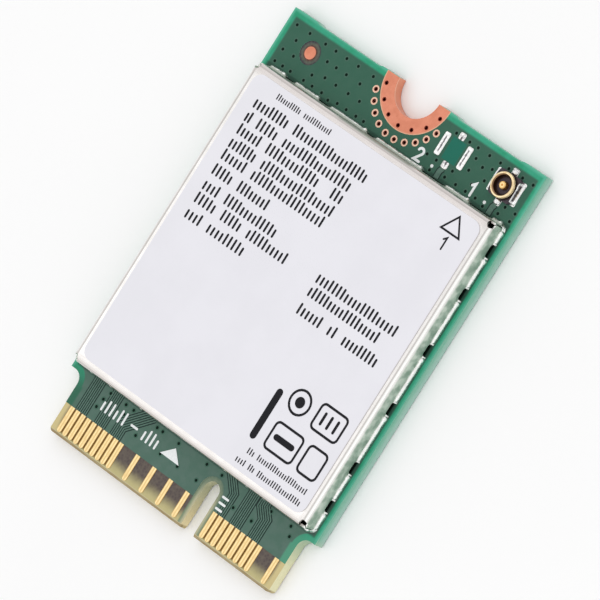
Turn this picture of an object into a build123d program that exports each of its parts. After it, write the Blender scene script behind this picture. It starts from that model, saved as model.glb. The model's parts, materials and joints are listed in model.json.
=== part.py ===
from build123d import *
import math
import os

os.makedirs("parts", exist_ok=True)

# Millimetres. The card lies on its underside with its component side up (+Z). The contact tab points
# to -Y and the screw notch to +Y. The origin is under the middle of the outline, on the underside.

# Board outline
board_width = 22.0
board_length = 30.0
board_thickness = 0.8
tab_width = 19.85
tab_length = 4.0
shoulder_radius = 0.7
tab_corner_radius = 0.2
bevel_length = 0.2
bevel_depth = 0.1
coating = 0.03  # depth of the openings in the green coating, filled by the copper lands

# Break-off ends on the rear edge: the edge between them is routed a little deeper
rout_depth = 0.1
rout_ramp = 0.3
corner_nub = 1.9
notch_nub = 0.45

# Contacts, numbered across both faces: odd on the component side, even on the underside
contact_pitch = 0.5
contact_width = 0.37
contact_edge_gap = 0.22
contact_end_chamfer = 0.12
middle_number = 38
key_number = 27.5
key_width = 1.2
key_depth = 3.5
key_coating_gap = 0.3
upper_bare_length = 2.0
lower_bare_length = 2.45
upper_numbers = [*range(57, 76, 2), 51, 45, 39, 33, *range(7, 24, 2), 1]
lower_numbers = [72, 74, *range(54, 65, 2), *range(44, 51, 2), *range(32, 39, 2), *range(14, 23, 2)]
lower_numbers += [10, 6, 4, 2]

# Screw notch: half a hole on the rear edge with a plated wall and a copper land on both faces
notch_radius = 1.75
notch_plating = 0.05
notch_land_radius = 2.75

# Small plated holes, drawn with flats because they are so fine
hole_radius = 0.1
barrel_wall = 0.05
hole_flat_count = 10
collar_radius = 0.25
land_hole_count = 7
land_hole_margin = 0.3
land_hole_step = 24.4
collar_count = 10
collar_step = 13.7
collar_turn = -1.8
collar_clearance = 0.1
collar_bulge = 0.2

# Alignment dot
dot_radius = 0.41
dot_clear_radius = 0.78
dot_from_left = 2.72
antenna_line_from_rear = 1.83

# Antenna places: the fitted one measured from the right edge of the board and the spare one from
# the land of the notch, and how far the gap for its line in the skirt of the can lies to the left
fitted_from_right = 2.03
spare_from_land = 1.67
fitted_gap_shift = 0.62
spare_gap_shift = 0.14
antenna_gap_width = 1.85
bar_width = 0.46
bar_length = 1.58
bar_spacing = 1.94
small_land = 0.5
small_land_spacing = 2.02
land_corner_radius = 0.12
tin_height = 0.08

# Antenna socket
socket_base_size = 1.7
socket_base_height = 0.24
socket_base_chamfer = 0.12
socket_height = 0.6
ring_radius = 0.8
ring_groove_radius = 0.73
ring_root_radius = 0.77
ring_inner_radius = 0.63
ring_bead_height = 0.26
ring_rim_round = 0.06
socket_foot_width = 1.1
socket_foot_overlap = 0.15
socket_foot_root = 0.15
socket_sheet = 0.1
post_radius = 0.19
post_height = 0.53
tail_width = 0.26

# Shielding can, folded from one sheet
can_side_margin = 0.55
can_front_margin = 0.55
can_rear_margin = 3.9
can_height = 1.3
can_sheet = 0.15
can_bend_radius = 0.25
can_corner_radius = 0.27
relief_radius = 0.25
relief_inset = 0.2
seam_width = 0.06
skirt_gap_height = 0.3
skirt_gap_chamfer = 0.12
# Gaps in the skirt as (distance from the middle of the wall over the wall's length, width)
rear_gaps = [(-0.402, 0.7), (-0.255, 0.85), (-0.057, 0.65)]
side_gaps = [(0.423, 0.9), (0.282, 0.82), (0.098, 0.85), (-0.094, 0.85), (-0.288, 0.85), (-0.414, 0.82)]
front_gaps = [(-0.411, 1.0), (-0.323, 1.2), (-0.184, 1.4), (0.172, 1.1), (0.261, 0.95), (0.333, 0.9)]
solder_width = 0.12
solder_height = 0.22

# Label
label_margin = 0.52
label_corner_radius = 0.7
label_thickness = 0.06

# Parts under the can: the outer ones stand this far from its walls, and the radio chip fills the middle
part_clearance = 0.5
part_gap = 0.6
lead_height = 0.05
lead_size = (0.25, 0.35)
radio_size = (7.0, 7.0, 0.8)
radio_lead_count = 12
radio_thermal = 4.6
amplifier_size = (3.0, 3.0, 0.6)
amplifier_lead_count = 5
amplifier_thermal = 1.6
memory_size = (2.0, 3.0, 0.55)
memory_lead_count = 4
memory_thermal = 1.0
lead_pitch = 0.5
crystal_size = (2.0, 1.6)
crystal_base_height = 0.4
crystal_lid_height = 0.1
crystal_lid_inset = 0.15
filter_size = (1.6, 0.8, 0.6)
filter_end = 0.25
filter_spacing = 3.7
inductor_size = (2.0, 1.6, 0.95)
inductor_end = 0.4
inductor_count = 3
inductor_pitch = 2.4
capacitor_size = (1.0, 0.5, 0.5)
capacitor_end = 0.22
capacitor_row_count = 5
capacitor_pitch = 1.25
capacitor_gap = 0.45
resistor_size = (0.6, 0.3, 0.23)
resistor_end = 0.13
resistor_row_count = 6
resistor_pitch = 0.75

# Worked out from the sizes above
rear_y = board_length / 2
front_y = -board_length / 2
shoulder_y = front_y + tab_length
antenna_y = rear_y - antenna_line_from_rear
fitted_x = board_width / 2 - fitted_from_right
spare_x = notch_land_radius + spare_from_land
can_width = board_width - 2 * can_side_margin
can_rear_y = rear_y - can_rear_margin
can_front_y = shoulder_y + can_front_margin
can_length = can_rear_y - can_front_y
can_y = (can_rear_y + can_front_y) / 2
can_top = board_thickness + can_height


def near_side(side, width):
    """Middle, across the can, of a part of this width beside its left (-1) or right (1) wall."""
    return side * (can_width / 2 - can_sheet - part_clearance - width / 2)


def near_end(side, length):
    """Middle, along the can, of a part of this length beside its front (-1) or rear (1) wall."""
    return can_y + side * (can_length / 2 - can_sheet - part_clearance - length / 2)


filter_y = near_end(1, filter_size[1])
filter_front_y = filter_y - filter_size[1] / 2
radio_place = (0, (near_end(-1, 0) + filter_front_y) / 2)
amplifier_place = (near_side(1, amplifier_size[0]), filter_front_y - part_gap - amplifier_size[1] / 2)
memory_place = (near_side(-1, memory_size[0]), near_end(-1, memory_size[1]))
crystal_place = (near_side(-1, crystal_size[0]), can_y)


def save(name, *shapes):
    solids = [solid for shape in shapes for solid in shape.solids()]
    export_step(solids[0] if len(solids) == 1 else Compound(children=solids), f"parts/{name}.step")


def fine_circle(radius):
    return RegularPolygon(radius, hole_flat_count)


def fine_drill(x, y, radius):
    """Cutter for a small hole right through the board."""
    return extrude(Pos(x, y, -board_thickness) * fine_circle(radius), amount=3 * board_thickness)


def block(x, y, z, width, length, height):
    """A box standing on height z, centred on x and y."""
    return Pos(x, y, z) * Box(width, length, height, align=(Align.CENTER, Align.CENTER, Align.MIN))


def on_both_faces(sketch, depth):
    """The sketch as a layer let into the component side and into the underside."""
    upper = extrude(Pos(0, 0, board_thickness - depth) * sketch, amount=depth)
    return upper, extrude(sketch, amount=depth)


def number_x(number):
    """Place of a contact across the tab: the numbers run from right to left."""
    return (middle_number - number) * contact_pitch / 2


def key_shape(margin):
    """The key slot seen from above, widened by a margin, open towards the tab end."""
    radius = key_width / 2 + margin
    reach = key_depth - key_width / 2
    slot = Rectangle(2 * radius, reach, align=(Align.CENTER, Align.MIN)) + Pos(0, reach) * Circle(radius)
    return Pos(number_x(key_number), front_y) * slot


def board_outline():
    """Body and tab with rounded shoulders, the key slot, the screw notch and the routed rear edge."""
    body = Pos(0, (rear_y + shoulder_y) / 2) * Rectangle(board_width, rear_y - shoulder_y)
    tab = Pos(0, front_y + tab_length / 2) * Rectangle(tab_width, tab_length)
    outline = body + tab
    corners = outline.vertices()
    inner = [v for v in corners if math.isclose(v.Y, shoulder_y) and math.isclose(abs(v.X), tab_width / 2)]
    outline = fillet(inner, shoulder_radius)
    outline = fillet(outline.vertices().group_by(Axis.Y)[0], tab_corner_radius)
    near = notch_land_radius + notch_nub
    far = board_width / 2 - corner_nub
    for side in (-1, 1):
        rout = Polygon(
            (side * near, rear_y),
            (side * (near + rout_ramp), rear_y - rout_depth),
            (side * (far - rout_ramp), rear_y - rout_depth),
            (side * far, rear_y),
            align=None,
        )
        outline -= rout
    outline -= key_shape(0)
    return outline - Pos(0, rear_y) * Circle(notch_radius + notch_plating)


def land_hole_points():
    """Small holes through the land of the screw notch, evenly spread on an arc."""
    radius = notch_land_radius - land_hole_margin
    middle = (land_hole_count - 1) / 2
    for i in range(land_hole_count):
        angle = math.radians((i - middle) * land_hole_step)
        yield radius * math.sin(angle), rear_y - radius * math.cos(angle)


def collar_points():
    """Earth holes round the land: an arc that stands off a little more in the middle."""
    middle = (collar_count - 1) / 2
    for i in range(collar_count):
        turn = (i - middle) * collar_step
        radius = notch_land_radius + collar_clearance + collar_radius
        radius += collar_bulge * math.cos(math.radians(1.5 * turn))
        angle = math.radians(turn + collar_turn)
        yield radius * math.sin(angle), rear_y - radius * math.cos(angle)


def half_ring():
    """Half a ring on the rear edge, seen from above."""
    ring = Pos(0, rear_y) * (Circle(notch_land_radius) - Circle(notch_radius))
    return ring & Rectangle(board_width, board_length)


def antenna_lands(x):
    """Two long earth bars, and the signal land and its twin, round one antenna place."""
    lands = []
    for side in (-1, 1):
        bar = RectangleRounded(bar_width, bar_length, land_corner_radius)
        small = RectangleRounded(small_land, small_land, land_corner_radius)
        lands.append(Pos(x + side * bar_spacing / 2, antenna_y) * bar)
        lands.append(Pos(x, antenna_y + side * small_land_spacing / 2) * small)
    return lands


def printed_board():
    board = extrude(board_outline(), amount=board_thickness)
    upper_bare = Pos(0, front_y) * Rectangle(tab_width, upper_bare_length, align=(Align.CENTER, Align.MIN))
    lower_bare = Pos(0, front_y) * Rectangle(tab_width, lower_bare_length, align=(Align.CENTER, Align.MIN))
    key_bare = key_shape(key_coating_gap)
    for z, bare in ((board_thickness - coating, upper_bare), (0, lower_bare)):
        board -= extrude(Pos(0, 0, z) * (bare + key_bare), amount=coating)
    dot_clear = Pos(dot_from_left - board_width / 2, antenna_y) * Circle(dot_clear_radius)
    board -= extrude(Pos(0, 0, board_thickness - coating) * dot_clear, amount=coating)
    for layer in on_both_faces(Pos(0, rear_y) * Circle(notch_land_radius), coating):
        board -= layer
    for x, y in [*land_hole_points(), *collar_points()]:
        board -= fine_drill(x, y, hole_radius + barrel_wall)
    for x, y in collar_points():
        for layer in on_both_faces(Pos(x, y) * fine_circle(collar_radius), coating):
            board -= layer
    for land in antenna_lands(fitted_x) + antenna_lands(spare_x):
        board -= extrude(Pos(0, 0, board_thickness - coating) * land, amount=coating)
    for face_z, inward in ((coating, 1), (board_thickness - coating, -1)):
        wedge = Polygon(
            (front_y, face_z - inward * coating),
            (front_y + bevel_length, face_z),
            (front_y, face_z + inward * bevel_depth),
            align=None,
        )
        board -= extrude(Plane.YZ * wedge, amount=board_width / 2, both=True)
    return board


def contacts(numbers, bare_length, z):
    """A row of contacts with relieved outer ends, from the edge of the coating towards the tab end."""
    length = bare_length - contact_edge_gap
    finger = Rectangle(contact_width, length, align=(Align.CENTER, Align.MIN))
    finger = chamfer(finger.vertices().group_by(Axis.Y)[0], contact_end_chamfer)
    finger = extrude(Pos(0, front_y + contact_edge_gap, z) * finger, amount=coating)
    return [Pos(number_x(n), 0, 0) * finger for n in numbers]


def notch_land():
    """Lands on both faces joined by the plated wall of the notch and by the small plated holes."""
    upper, lower = on_both_faces(half_ring(), coating)
    wall = Circle(notch_radius + notch_plating) - Circle(notch_radius)
    wall = Pos(0, rear_y) * wall & Rectangle(board_width, board_length)
    plating = upper + lower + extrude(wall, amount=board_thickness)
    for x, y in land_hole_points():
        plating += extrude(Pos(x, y) * fine_circle(hole_radius + barrel_wall), amount=board_thickness)
    for x, y in land_hole_points():
        plating -= fine_drill(x, y, hole_radius)
    return plating


def alignment_dot():
    place = Pos(dot_from_left - board_width / 2, antenna_y, board_thickness - coating)
    return extrude(place * Circle(dot_radius), amount=coating)


def earth_hole():
    """One plated hole: a barrel with a collar let into each face."""
    barrel = extrude(fine_circle(hole_radius + barrel_wall), amount=board_thickness)
    for layer in on_both_faces(fine_circle(collar_radius), coating):
        barrel += layer
    return barrel - fine_drill(0, 0, hole_radius)


def can_form(inset):
    """The outside of the can, or its inside when inset by the sheet."""
    plan = RectangleRounded(can_width - 2 * inset, can_length - 2 * inset, can_corner_radius - inset)
    form = extrude(Pos(0, can_y, board_thickness) * plan, amount=can_height - inset)
    rim = form.edges().group_by(Axis.Z)[-1]
    return fillet(rim, can_bend_radius - inset)


def skirt_gap(width, depth):
    """Cutter for one gap in the skirt, with its two upper corners cut off."""
    gap = Rectangle(width, skirt_gap_height, align=(Align.CENTER, Align.MIN))
    gap = chamfer(gap.vertices().group_by(Axis.Y)[-1], skirt_gap_chamfer)
    return extrude(Plane.XZ * gap, amount=depth / 2, both=True)


def skirt_gaps(depth):
    """Cutters on all four walls, in place."""
    cutters = []
    for x in (spare_x - spare_gap_shift, fitted_x - fitted_gap_shift):
        cutters.append(Pos(x, can_rear_y, board_thickness) * skirt_gap(antenna_gap_width, depth))
    for y, gaps in ((can_rear_y, rear_gaps), (can_front_y, front_gaps)):
        for share, width in gaps:
            cutters.append(Pos(share * can_width, y, board_thickness) * skirt_gap(width, depth))
    for share, width in side_gaps:
        for side in (-1, 1):
            place = Pos(side * can_width / 2, can_y + share * can_length, board_thickness)
            cutters.append(place * Rot(0, 0, 90) * skirt_gap(width, depth))
    return cutters


def shield_can():
    """The folded sheet: a round relief hole cuts away the bends at each corner, with an open seam below."""
    can = can_form(0) - can_form(can_sheet)
    for cutter in skirt_gaps(4 * can_sheet):
        can -= cutter
    relief_depth = can_sheet + can_bend_radius
    seam_length = 4 * relief_inset
    for side_x in (-1, 1):
        for side_y in (-1, 1):
            x = side_x * (can_width / 2 - relief_inset)
            y = can_y + side_y * (can_length / 2 - relief_inset)
            corner = Pos(x, y) * Rot(0, 0, math.degrees(math.atan2(side_y, side_x)))
            can -= corner * Pos(0, 0, can_top) * Cylinder(relief_radius, 2 * relief_depth)
            can -= corner * block(seam_length / 2, 0, board_thickness, seam_length, seam_width, can_height)
    return can


def can_solder():
    """A sloping bead round the foot of the can, broken where the skirt has gaps."""
    plan = RectangleRounded(
        can_width + 2 * solder_width, can_length + 2 * solder_width, can_corner_radius + solder_width
    )
    slope = math.degrees(math.atan2(solder_width, solder_height))
    bead = extrude(Pos(0, can_y, board_thickness) * plan, amount=0.9 * solder_height, taper=slope)
    core = RectangleRounded(can_width, can_length, can_corner_radius)
    bead -= extrude(Pos(0, can_y, board_thickness) * core, amount=can_height)
    for cutter in skirt_gaps(4 * can_sheet):
        bead -= cutter
    return bead


def shield_label():
    plan = RectangleRounded(can_width - 2 * label_margin, can_length - 2 * label_margin, label_corner_radius)
    return extrude(Pos(0, can_y, can_top) * plan, amount=label_thickness)


def tinned_lands(x, height):
    """Lands of one antenna place, let into the coating, with a low crown of tin."""
    lands = []
    for land in antenna_lands(x):
        tin = extrude(Pos(0, 0, board_thickness - coating) * land, amount=coating + height)
        if height:
            tin = fillet(tin.edges().group_by(Axis.Z)[-1], 0.8 * height)
        lands.append(tin)
    return lands


def socket_ring():
    """The outer ring: a bead that the plug grips, over a V groove."""
    top = socket_height
    bead = top - ring_bead_height
    groove = bead - (ring_radius - ring_groove_radius)
    section = Polygon(
        (ring_inner_radius, socket_sheet),
        (ring_root_radius, socket_sheet),
        (ring_groove_radius, groove),
        (ring_radius, bead),
        (ring_radius, top - ring_rim_round),
        (ring_radius - ring_rim_round, top),
        (ring_inner_radius + ring_rim_round, top),
        (ring_inner_radius, top - ring_rim_round),
        align=None,
    )
    return revolve(Plane.XZ * section, Axis.Z)


def socket_shell():
    """The ring and its feet, which reach out under it on both sides over the earth bars."""
    shell = socket_ring()
    reach = bar_spacing / 2 - bar_width / 2 + socket_foot_overlap
    length = reach - ring_inner_radius + socket_foot_root
    for side in (-1, 1):
        shell += block(side * (reach - length / 2), 0, 0, length, socket_foot_width, socket_sheet)
    return Pos(fitted_x, antenna_y, board_thickness) * shell


def socket_contact():
    """Round post with a domed top, and a flat tail to the signal land."""
    post = extrude(Circle(post_radius), amount=post_height)
    post = fillet(post.edges().group_by(Axis.Z)[-1], 0.6 * post_radius)
    reach = small_land_spacing / 2
    tail = block(0, -reach / 2, 0, tail_width, reach, socket_sheet)
    return Pos(fitted_x, antenna_y, board_thickness) * (post + tail)


def socket_base(shell, contact):
    base = extrude(Rectangle(socket_base_size, socket_base_size), amount=socket_base_height)
    base = chamfer(base.edges().filter_by(Axis.Z), socket_base_chamfer)
    return Pos(fitted_x, antenna_y, board_thickness) * base - shell - contact


def crystal():
    """Ceramic tray with a thin metal lid."""
    x, y = crystal_place
    lid_width, lid_length = [side - 2 * crystal_lid_inset for side in crystal_size]
    base = block(x, y, board_thickness, *crystal_size, crystal_base_height)
    lid = block(x, y, board_thickness + crystal_base_height, lid_width, lid_length, crystal_lid_height)
    return base, lid


def chip(place, size, count, thermal):
    """A leadless chip: body on rows of flat leads and a square heat pad."""
    x, y = place
    width, length, height = size
    body = block(x, y, board_thickness + lead_height, width, length, height)
    leads = [block(x, y, board_thickness, thermal, thermal, lead_height)]
    lead_width, lead_length = lead_size
    for i in range(count):
        along = (i - (count - 1) / 2) * lead_pitch
        for side in (-1, 1):
            edge_x = x + side * (width - lead_length) / 2
            leads.append(block(edge_x, y + along, board_thickness, lead_length, lead_width, lead_height))
            if width == length:
                edge_y = y + side * (length - lead_length) / 2
                leads.append(block(x + along, edge_y, board_thickness, lead_width, lead_length, lead_height))
    return body, leads


def capped(places, turned_places, size, end):
    """Small blocks with a metal cap on each end, lengthwise across the can or turned along it."""
    length, width, height = size
    bodies, ends = [], []
    for turn, spots in ((0, places), (90, turned_places)):
        for x, y in spots:
            spot = Pos(x, y, board_thickness) * Rot(0, 0, turn)
            bodies.append(spot * block(0, 0, 0, length - 2 * end, width, height))
            for side in (-1, 1):
                ends.append(spot * block(side * (length - end) / 2, 0, 0, end, width, height))
    return bodies, ends


def filter_places():
    x = near_side(1, filter_size[0])
    return [(x, filter_y), (x - filter_spacing, filter_y)]


def inductor_places():
    x = near_side(1, inductor_size[0])
    y = near_end(-1, inductor_size[1])
    return [(x, y + i * inductor_pitch) for i in range(inductor_count)]


def capacitor_places():
    """A row of capacitors along each side of the radio chip, pointing away from it."""
    x, y = radio_place
    level, upright = [], []
    for i in range(capacitor_row_count):
        along = (i - (capacitor_row_count - 1) / 2) * capacitor_pitch
        off = radio_size[1] / 2 + capacitor_gap + capacitor_size[0] / 2
        upright += [(x + along, y + off), (x + along, y - off)]
        off = radio_size[0] / 2 + capacitor_gap + capacitor_size[0] / 2
        level += [(x + off, y + along), (x - off, y + along)]
    return level, upright


def resistor_places():
    """A row of resistors in the left rear corner, pointing along the can."""
    first_x = near_side(-1, resistor_size[1])
    y = near_end(1, resistor_size[0])
    return [(first_x + i * resistor_pitch, y) for i in range(resistor_row_count)]


save("printed_board", printed_board())
save("upper_contacts", *contacts(upper_numbers, upper_bare_length, board_thickness - coating))
save("lower_contacts", *contacts(lower_numbers, lower_bare_length, 0))
save("notch_land", notch_land())
save("earth_holes", *[Pos(x, y, 0) * earth_hole() for x, y in collar_points()])
save("alignment_dot", alignment_dot())

save("shield_can", shield_can())
save("can_solder", can_solder())
save("shield_label", shield_label())

shell = socket_shell()
contact = socket_contact()
save("socket_shell", shell)
save("socket_contact", contact)
save("socket_base", socket_base(shell, contact))
save("socket_lands", *tinned_lands(fitted_x, 0))
save("spare_lands", *tinned_lands(spare_x, tin_height))

for name, *values in (
    ("radio_chip", radio_place, radio_size, radio_lead_count, radio_thermal),
    ("amplifier_chip", amplifier_place, amplifier_size, amplifier_lead_count, amplifier_thermal),
    ("memory_chip", memory_place, memory_size, memory_lead_count, memory_thermal),
):
    body, leads = chip(*values)
    save(name, body)
    save(f"{name}_leads", *leads)

base, lid = crystal()
save("crystal_base", base)
save("crystal_lid", lid)

level, upright = capacitor_places()
for name, places, size, end, turned in (
    ("filter", filter_places(), filter_size, filter_end, []),
    ("inductor", inductor_places(), inductor_size, inductor_end, []),
    ("capacitor", level, capacitor_size, capacitor_end, upright),
    ("resistor", [], resistor_size, resistor_end, resistor_places()),
):
    bodies, ends = capped(places, turned, size, end)
    save(f"{name}_bodies", *bodies)
    save(f"{name}_ends", *ends)
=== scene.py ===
import json
import math
import bpy
import numpy as np
from mathutils import Matrix, Vector


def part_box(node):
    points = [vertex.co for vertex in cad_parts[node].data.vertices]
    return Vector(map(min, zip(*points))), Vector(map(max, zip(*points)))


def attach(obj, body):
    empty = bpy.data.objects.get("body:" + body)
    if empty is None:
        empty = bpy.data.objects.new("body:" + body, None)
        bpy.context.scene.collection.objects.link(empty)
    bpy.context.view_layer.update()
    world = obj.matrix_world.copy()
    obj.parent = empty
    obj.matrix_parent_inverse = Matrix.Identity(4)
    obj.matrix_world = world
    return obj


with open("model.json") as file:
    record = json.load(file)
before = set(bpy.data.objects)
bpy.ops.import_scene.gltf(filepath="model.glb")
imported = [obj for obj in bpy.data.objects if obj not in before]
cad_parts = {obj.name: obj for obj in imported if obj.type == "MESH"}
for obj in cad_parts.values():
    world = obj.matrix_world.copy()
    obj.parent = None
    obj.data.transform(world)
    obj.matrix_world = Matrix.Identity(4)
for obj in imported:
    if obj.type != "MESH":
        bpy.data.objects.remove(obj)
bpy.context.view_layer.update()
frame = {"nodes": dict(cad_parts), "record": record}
nodes = frame["nodes"]
mm = 0.001  # pieces and patterns are written in millimetres
print("frame loaded:", len(nodes), "nodes")

# shader maths


def linear(colour):
    # a display colour of 0 to 255 as linear light, opaque
    parts = np.array(colour) / 255
    return (*np.where(parts <= 0.04045, parts / 12.92, ((parts + 0.055) / 1.055) ** 2.4).tolist(), 1)


class Value:
    # wraps a socket, so that shader maths can be written as plain expressions
    def __init__(self, finish, socket):
        self.finish = finish
        self.socket = socket

    def math(self, operation, *values):
        return self.finish.node("Math", {"operation": operation}, dict(enumerate(values)))

    def __add__(self, other):
        return self.math("ADD", self, other)

    def __sub__(self, other):
        return self.math("SUBTRACT", self, other)

    def __rsub__(self, other):
        return self.math("SUBTRACT", other, self)

    def __mul__(self, other):
        return self.math("MULTIPLY", self, other)

    def __gt__(self, other):
        return self.math("GREATER_THAN", self, other)

    def __lt__(self, other):
        return self.math("LESS_THAN", self, other)

    def __abs__(self):
        return self.math("ABSOLUTE", self)

    def larger(self, other):
        return self.math("MAXIMUM", self, other)

    def power(self, exponent):
        return self.math("POWER", self, exponent)

    def hypot(self, other):
        # distance to a point that lies self along one axis and other along the next
        squares = self.power(2) + other.power(2)
        return self.math("SQRT", squares)

    def step(self, start=0.3, end=0.7):
        # 0 below start and 1 above end, smooth between them
        values = {"Value": self, "From Min": start, "From Max": end}
        return self.finish.node("MapRange", {"interpolation_type": "SMOOTHSTEP"}, values)

    def within(self, low, high, soft):
        return self.step(low - soft, low + soft) * (1 - self.step(high - soft, high + soft))

    def mix(self, first, second):
        # first where this is 0 and second where it is 1, each a Value or a display colour
        tones = [tone if isinstance(tone, Value) else linear(tone) for tone in (first, second)]
        inputs = {0: self, 6: tones[0], 7: tones[1]}
        return self.finish.node("Mix", {"data_type": "RGBA"}, inputs, output=2)

    __radd__ = __add__
    __rmul__ = __mul__


class Finish:
    # one material: constants go straight on the shader's sockets, patterns are fed to it
    def __init__(self, name, **constants):
        self.material = bpy.data.materials.new(name)
        self.material.use_nodes = True
        self.tree = self.material.node_tree
        self.shader = self.tree.nodes["Principled BSDF"]
        for key, value in constants.items():
            self.shader.inputs[key.replace("_", " ")].default_value = value
        place = self.node("TexCoord", output="Object")
        self.place = self.node("VectorMath", {"operation": "SCALE"}, {0: place, "Scale": 1 / mm})

    def node(self, kind, settings=None, inputs=None, output=0):
        made = self.tree.nodes.new("ShaderNode" + kind)
        for key, value in (settings or {}).items():
            setattr(made, key, value)
        for key, value in (inputs or {}).items():
            if isinstance(value, Value):
                self.tree.links.new(value.socket, made.inputs[key])
            else:
                made.inputs[key].default_value = value
        return Value(self, made.outputs[output])

    def feed(self, **links):
        for key, value in links.items():
            self.tree.links.new(value.socket, self.shader.inputs[key.replace("_", " ")])
        return self.material

    def skin(self, tone, rough, height, distance, strength=0.5, **links):
        # distance in mm is how far the pattern stands out where height is 1
        values = {"Strength": strength, "Distance": distance * mm, "Height": height}
        bumps = self.node("Bump", inputs=values, output="Normal")
        return self.feed(Base_Color=tone, Roughness=rough, Normal=bumps, **links)

    def axes(self):
        return [self.node("SeparateXYZ", inputs={0: self.place}, output=i) for i in range(3)]

    def stretched(self, x, y, z):
        return self.node("VectorMath", {"operation": "MULTIPLY"}, {0: self.place, 1: (x, y, z)})

    def noise(self, scale, detail=3, place=None):
        values = {"Vector": place or self.place, "Scale": scale, "Detail": detail}
        return self.node("TexNoise", inputs=values)

    def cells(self, scale, place=None):
        return self.node("TexVoronoi", inputs={"Vector": place or self.place, "Scale": scale})


def area(x, y, edges, soft):
    # 1 inside a rectangle, and 0 outside it
    left, right, front, rear = edges
    return x.within(left, right, soft) * y.within(front, rear, soft)


# camera, light and floor

view = {
    "place": (242.60, 37.81, 361.49),
    "target": (0.724, 0.478, 0.8),
    "roll": 65.16,  # degrees, turns the picture
    "lens": 433.1,
    "sensor": 36.0,
}


def placed(name, data):
    # a new object of the scene
    made = bpy.data.objects.new(name, data)
    bpy.context.scene.collection.objects.link(made)
    return made


def makeCamera():
    data = bpy.data.cameras.new("camera")
    data.lens = view["lens"]
    data.sensor_width = view["sensor"]
    data.clip_start = 0.01
    data.clip_end = 10
    camera = placed("camera", data)
    place, target = Vector(view["place"]) * mm, Vector(view["target"]) * mm
    look = (target - place).to_track_quat("-Z", "Y")
    turn = Matrix.Rotation(-math.radians(view["roll"]), 4, "Z")
    camera.matrix_world = Matrix.Translation(place) @ look.to_matrix().to_4x4() @ turn
    bpy.context.scene.camera = camera


studio = {  # places and sizes in metres
    "worldStrength": 0.92,
    "softbox": {"place": (-0.30, -0.20, 0.42), "size": 0.30, "power": 0.16},
    "fill": {"place": (0.34, -0.24, 0.30), "size": 0.40, "power": 0.16},
    "back": {"place": (0.02, 0.50, 0.22), "size": 0.40, "power": 0.16},
    "floorSize": 1.2,
    "floorGap": 0.06,  # in millimetres
}


def makeStudio():
    world = bpy.data.worlds.new("studio")
    world.use_nodes = True
    world.node_tree.nodes["Background"].inputs["Color"].default_value = (1, 1, 1, 1)
    world.node_tree.nodes["Background"].inputs["Strength"].default_value = studio["worldStrength"]
    bpy.context.scene.world = world
    for name in ("softbox", "fill", "back"):
        values = studio[name]
        light = bpy.data.lights.new(name, "AREA")
        light.size = values["size"]
        light.energy = values["power"]
        lamp = placed(name, light)
        lamp.location = values["place"]
        lamp.rotation_euler = (-Vector(values["place"])).to_track_quat("-Z", "Y").to_euler()
    half = studio["floorSize"] / 2
    corners = [(-half, -half), (half, -half), (half, half), (-half, half)]
    mesh = bpy.data.meshes.new("floor")
    mesh.from_pydata([(x, y, -studio["floorGap"] * mm) for x, y in corners], [], [(0, 1, 2, 3)])
    finish = Finish("paleFloor", Roughness=0.9)
    tone = finish.noise(0.05).mix((250, 250, 250), (253, 253, 253))
    mesh.materials.append(finish.feed(Base_Color=tone))
    floor = placed("floor", mesh)
    bpy.context.scene.view_settings.view_transform = "Standard"


makeCamera()
makeStudio()
print("camera, light and floor made")

# materials of the CAD nodes

board = {
    "thickness": 0.8,
    "coating": 0.03,
    "specular": 0.18,
    "rearEdge": 15.0,
    "sideEdge": 11.0,
    "bevel": (-14.88, -14.76),
    "pitch": 0.5,  # of the contacts
    "contactTop": (-12.9, -12.5),
    "contactMiddle": -13.9,
    "pour": (-10.60, 10.66, -10.62, 14.55),  # copper under the coating: left, right, front, rear
    "tabPour": 9.42,
    "beside": (-10.7, 10.7, -10.7, 11.36),  # the can takes light away as far as this
    "shadedUnderCan": (-10.46, 10.46, -10.5, 11.14),  # painted shade: the board under the can, dark where it shows through the gaps in its skirt
    "windows": [(3.86, 4.98, 12.42, 13.92), (8.40, 9.54, 12.42, 13.92)],
    "underWindows": [(3.60, 4.95, 12.40, 13.90), (8.13, 9.48, 12.40, 13.90)],
    "tabTop": -10.5,
    "planeEdge": -14.3,  # where the inner copper plane ends under the bare tab
    "packed": [(-9.35, -4.9), (3.15, 7.85)],  # where the contacts have no empty place between them
    "dot": (-8.28, 13.17),
    "key": (2.625, -12.1, 0.6),  # middle and radius of the round end of the key slot
    "shoulder": (10.625, -11.7, 1.1),  # the pour keeps this far from the middle of each rounded shoulder
}


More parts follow.
